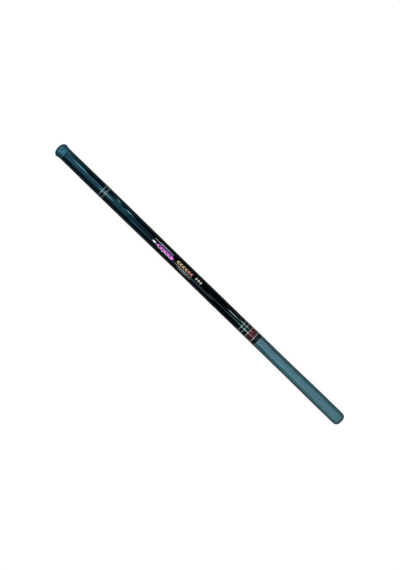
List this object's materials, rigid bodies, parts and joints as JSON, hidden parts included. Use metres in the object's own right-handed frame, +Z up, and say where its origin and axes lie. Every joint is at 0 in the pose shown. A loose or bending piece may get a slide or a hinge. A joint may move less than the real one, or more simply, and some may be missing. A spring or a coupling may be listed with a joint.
{
  "type": "telescopic fishing rod",
  "caption": "Closed telescopic lake pole: nested tapered sections slide out of a gripped handle tube, with a pull-out front plug and a screwed butt cap.",
  "frame": {"origin": "centre of the flat end face of the butt cap, on the pole's axis", "axes": "+X along the pole from the butt to the front plug; +Z up when the pole lies on a table"},
  "size_m": [0.72, 0.028, 0.028],
  "materials": {
    "lacquered_blank": "blue-black metallic lacquer over fibre, clear coated",
    "section_lacquer": "black lacquered fibre tube",
    "hoop_winding": "fibre winding under teal lacquer",
    "soft_coating": "satin soft-touch coating, fine grain",
    "moulded_plastic": "satin moulded plastic with a soft-touch paint",
    "ring_winding": "pale metallic winding under lacquer",
    "red_foil": "dark red foil under lacquer",
    "ferrule_metal": "turned aluminium",
    "black_rubber": "matt black rubber",
    "tip_lacquer": "pale lacquered solid glass fibre",
    "red_braid": "red braided cord",
    "whipping_thread": "black lacquered thread"
  },
  "bodies": {
    "handle": {"handle_tube": "lacquered_blank", "grip_sleeve": "soft_coating", "butt_ferrule": "ferrule_metal", "grip_ring": "ring_winding", "band_ring_rear": "ring_winding", "band_ring_front": "ring_winding", "red_band": "red_foil", "trim_ring_rear": "ring_winding", "trim_ring_front": "ring_winding", "mouth_ring_rear": "ring_winding", "mouth_ring_front": "ring_winding"},
    "section_2": {"section_2_tube": "section_lacquer", "section_2_hoop": "hoop_winding"},
    "section_3": {"section_3_tube": "section_lacquer", "section_3_hoop": "hoop_winding"},
    "section_4": {"section_4_tube": "section_lacquer", "section_4_hoop": "hoop_winding"},
    "section_5": {"section_5_tube": "section_lacquer", "section_5_hoop": "hoop_winding"},
    "section_6": {"section_6_tube": "section_lacquer", "section_6_hoop": "hoop_winding"},
    "section_7": {"section_7_tube": "section_lacquer", "section_7_hoop": "hoop_winding"},
    "section_8": {"section_8_tube": "section_lacquer", "section_8_hoop": "hoop_winding"},
    "tip": {"tip_rod": "tip_lacquer", "line_braid": "red_braid", "braid_whipping": "whipping_thread", "braid_knot": "red_braid"},
    "front_plug": {"front_plug": "moulded_plastic", "plug_o_ring_1": "black_rubber", "plug_o_ring_2": "black_rubber"},
    "cap_ring": {"cap_o_ring": "black_rubber"},
    "butt_cap": {"butt_cap": "moulded_plastic", "section_cushion": "black_rubber"}
  },
  "joints": [
    {"name": "section_2_slide", "type": "slide", "parent": "handle", "child": "section_2", "axis": [1, 0, 0], "range_m": [0, 0.6025]},
    {"name": "section_3_slide", "type": "slide", "parent": "section_2", "child": "section_3", "axis": [1, 0, 0], "range_m": [0, 0.5765]},
    {"name": "section_4_slide", "type": "slide", "parent": "section_3", "child": "section_4", "axis": [1, 0, 0], "range_m": [0, 0.579]},
    {"name": "section_5_slide", "type": "slide", "parent": "section_4", "child": "section_5", "axis": [1, 0, 0], "range_m": [0, 0.5815]},
    {"name": "section_6_slide", "type": "slide", "parent": "section_5", "child": "section_6", "axis": [1, 0, 0], "range_m": [0, 0.584]},
    {"name": "section_7_slide", "type": "slide", "parent": "section_6", "child": "section_7", "axis": [1, 0, 0], "range_m": [0, 0.5865]},
    {"name": "section_8_slide", "type": "slide", "parent": "section_7", "child": "section_8", "axis": [1, 0, 0], "range_m": [0, 0.589]},
    {"name": "tip_slide", "type": "slide", "parent": "section_8", "child": "tip", "axis": [1, 0, 0], "range_m": [0, 0.5915]},
    {"name": "front_plug_pull", "type": "slide", "parent": "tip", "child": "front_plug", "axis": [1, 0, 0], "range_m": [0, 0.045]},
    {"name": "cap_advance", "type": "slide", "parent": "handle", "child": "cap_ring", "axis": [-1, 0, 0], "range_m": [0, 0.0101]},
    {"name": "cap_turn", "type": "hinge", "parent": "cap_ring", "child": "butt_cap", "pos_m": [0.012, 0, 0], "axis": [-1, 0, 0], "range_deg": [0, 1800]}
  ],
  "couplings": [
    {"joint": "cap_advance", "follows": "cap_turn", "m_per_rad": 0.00031831}
  ]
}
